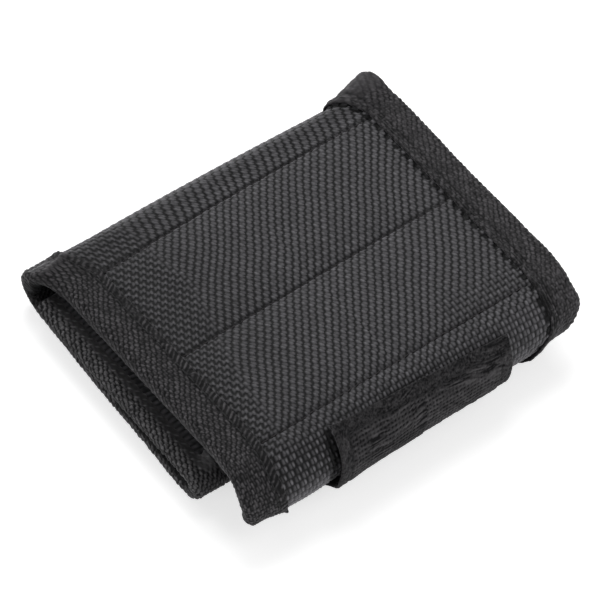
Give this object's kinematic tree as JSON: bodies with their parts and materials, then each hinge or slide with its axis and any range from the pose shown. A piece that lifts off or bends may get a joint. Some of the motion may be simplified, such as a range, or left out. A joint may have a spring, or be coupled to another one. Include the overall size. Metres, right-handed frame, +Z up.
{
  "type": "magnetic wristband",
  "caption": "Padded cloth wristband rolled up flat: sewn pockets hold magnets that catch screws and bits, tape binds the edges, and a hook-and-loop strap is folded back on the front roll.",
  "frame": {"origin": "under the middle of the roll's bounding box, on the surface it rests on", "axes": "+X across the band from its left edge to its right edge, +Y towards the rear fold, +Z up"},
  "size_m": [0.0946, 0.0851, 0.019],
  "materials": {
    "shell": "coarse basket weave, slight sheen",
    "lining": "matt knitted mesh",
    "foam": "matt foam sheet",
    "tape": "ribbed woven tape, matt",
    "loop": "brushed loop pile",
    "hook": "moulded hooks",
    "magnet": "nickel plated"
  },
  "bodies": {
    "inner_roll": {"binding_left_inner_roll": "tape", "binding_right_inner_roll": "tape", "end_hem_inner_flap": "tape", "lining_inner_flap": "lining", "lining_inner_fold": "lining", "lining_lower": "lining", "loop_patch_lower": "loop", "pad_inner_flap": "foam", "pad_lower": "foam", "shell_inner_flap": "shell", "shell_inner_fold": "shell", "shell_lower": "shell"},
    "rear_fold_lower": {"binding_left_rear_fold_lower": "tape", "binding_right_rear_fold_lower": "tape", "lining_rear_fold_lower": "lining", "shell_rear_fold_lower": "shell"},
    "rear_fold_upper": {"binding_left_rear_fold_upper": "tape", "binding_right_rear_fold_upper": "tape", "lining_rear_fold_upper": "lining", "shell_rear_fold_upper": "shell"},
    "upper_panel": {"binding_left_upper_panel": "tape", "binding_right_upper_panel": "tape", "lining_pocket_front": "lining", "lining_pocket_rear": "lining", "magnet_carrier_front": "foam", "magnet_carrier_rear": "foam", "magnet_front_1": "magnet", "magnet_front_2": "magnet", "magnet_front_3": "magnet", "magnet_front_4": "magnet", "magnet_front_5": "magnet", "magnet_rear_1": "magnet", "magnet_rear_2": "magnet", "magnet_rear_3": "magnet", "magnet_rear_4": "magnet", "magnet_rear_5": "magnet", "shell_pocket_front": "shell", "shell_pocket_rear": "shell"},
    "front_roll": {"binding_left_front_roll": "tape", "binding_right_front_roll": "tape", "lining_front_roll": "lining", "loop_patch_front_roll": "loop", "pad_front_roll": "foam", "shell_front_roll": "shell", "strap_root": "loop"},
    "strap_bend": {"hook_patch_bend": "hook", "strap_bend": "loop"},
    "strap_tail": {"hook_patch_tail": "hook", "strap_tail": "loop"}
  },
  "joints": [
    {"name": "band_open", "type": "hinge", "parent": "inner_roll", "child": "rear_fold_lower", "pos_m": [-0.00106, 0.03402, -0.00005], "axis": [-0.9992, 0.0401, 0], "range_deg": [0, 34]},
    {"name": "fold_follow_rear", "type": "hinge", "parent": "rear_fold_lower", "child": "rear_fold_upper", "pos_m": [-0.00079, 0.04081, 0.00648], "axis": [-0.9992, 0.0401, 0], "range_deg": [0, 68]},
    {"name": "fold_follow_top", "type": "hinge", "parent": "rear_fold_upper", "child": "upper_panel", "pos_m": [-0.00104, 0.03456, 0.01353], "axis": [-0.9992, 0.0401, 0], "range_deg": [0, 68]},
    {"name": "front_lift", "type": "hinge", "parent": "upper_panel", "child": "front_roll", "pos_m": [0.00234, -0.03023, 0.0187], "axis": [-1, 0, 0], "range_deg": [0, 40]},
    {"name": "strap_peel", "type": "hinge", "parent": "front_roll", "child": "strap_bend", "pos_m": [0.00234, -0.04027, 0.00361], "axis": [1, 0, 0], "range_deg": [0, 60]},
    {"name": "strap_follow", "type": "hinge", "parent": "strap_bend", "child": "strap_tail", "pos_m": [0.00234, -0.04261, 0.01127], "axis": [1, 0, 0], "range_deg": [0, 72]}
  ],
  "couplings": [
    {"joint": "fold_follow_rear", "follows": "band_open", "ratio": 2},
    {"joint": "fold_follow_top", "follows": "band_open", "ratio": 2},
    {"joint": "strap_follow", "follows": "strap_peel", "ratio": 1.2}
  ]
}
